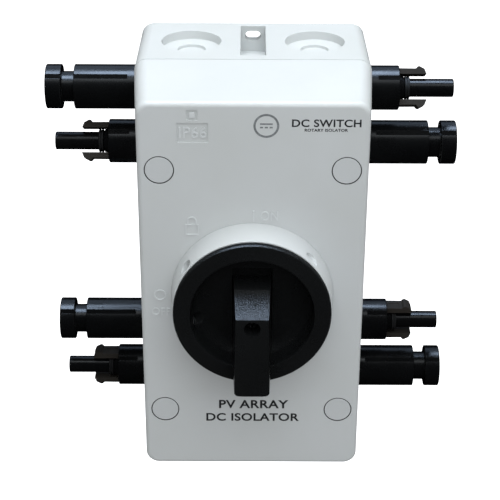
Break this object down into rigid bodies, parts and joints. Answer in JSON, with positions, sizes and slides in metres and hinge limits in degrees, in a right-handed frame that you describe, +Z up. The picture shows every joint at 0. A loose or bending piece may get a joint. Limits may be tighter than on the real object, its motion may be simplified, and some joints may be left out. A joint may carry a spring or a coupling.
{
  "type": "rotary isolator switch",
  "caption": "Wall-mounted rotary isolator switch in a two-part plastic enclosure, with a black turning handle in a lockable collar and cable connectors on both sides.",
  "frame": {"origin": "centre of the flat back face, which lies against the wall", "axes": "+X to the right seen from the front, +Y into the wall, +Z up; the handle faces -Y"},
  "size_m": [0.1902, 0.1222, 0.193],
  "materials": {
    "housing": "light grey moulded polycarbonate, fine satin",
    "screw_cap": "light grey moulded plastic, satin",
    "gasket": "matt black elastomer",
    "handle": "black moulded plastic, satin",
    "connector": "black moulded plastic, semi-gloss",
    "switch_body": "dark grey glass-filled plastic, matt",
    "rotor": "cream moulded plastic",
    "steel": "zinc-plated steel",
    "cable": "black cable sheath, matt"
  },
  "bodies": {
    "enclosure": {"base": "housing", "lid": "housing", "screw_cap_1": "screw_cap", "lid_screw_1": "steel", "screw_cap_2": "screw_cap", "lid_screw_2": "steel", "screw_cap_3": "screw_cap", "lid_screw_3": "steel", "screw_cap_4": "screw_cap", "lid_screw_4": "steel", "lid_gasket": "gasket", "shaft_seal": "gasket", "switch_bracket": "steel", "bracket_screw_1": "steel", "tie_bolt_1": "steel", "bracket_screw_2": "steel", "tie_bolt_2": "steel", "contact_deck_1": "switch_body", "contact_deck_2": "switch_body", "contact_deck_3": "switch_body", "contact_deck_4": "switch_body", "mechanism_housing": "switch_body", "sleeve_connector_left_1": "connector", "lock_nut_left_1": "connector", "lead_left_1": "cable", "plug_connector_left_2": "connector", "lock_nut_left_2": "connector", "lead_left_2": "cable", "sleeve_connector_left_3": "connector", "lock_nut_left_3": "connector", "lead_left_3": "cable", "plug_connector_left_4": "connector", "lock_nut_left_4": "connector", "lead_left_4": "cable", "plug_connector_right_1": "connector", "lock_nut_right_1": "connector", "lead_right_1": "cable", "sleeve_connector_right_2": "connector", "lock_nut_right_2": "connector", "lead_right_2": "cable", "plug_connector_right_3": "connector", "lock_nut_right_3": "connector", "lead_right_3": "cable", "sleeve_connector_right_4": "connector", "lock_nut_right_4": "connector", "lead_right_4": "cable", "plug_seal_left_2": "gasket", "plug_seal_left_4": "gasket", "plug_seal_right_1": "gasket", "plug_seal_right_3": "gasket"},
    "handle": {"knob": "handle", "knob_screw": "steel", "drive_shaft": "steel", "snap_spring": "steel"},
    "rotor": {"rotor_spindle": "rotor", "contact_rotor_1": "rotor", "contact_rotor_2": "rotor", "contact_rotor_3": "rotor", "contact_rotor_4": "rotor"}
  },
  "joints": [
    {"name": "knob_turn", "type": "hinge", "parent": "enclosure", "child": "handle", "pos_m": [0, -0.0923, 0], "axis": [0, -1, 0], "range_deg": [0, 90]},
    {"name": "rotor_turn", "type": "hinge", "parent": "enclosure", "child": "rotor", "pos_m": [0, -0.04, 0], "axis": [0, -1, 0], "range_deg": [0, 90]}
  ],
  "couplings": [
    {"joint": "rotor_turn", "follows": "knob_turn", "ratio": 1}
  ]
}
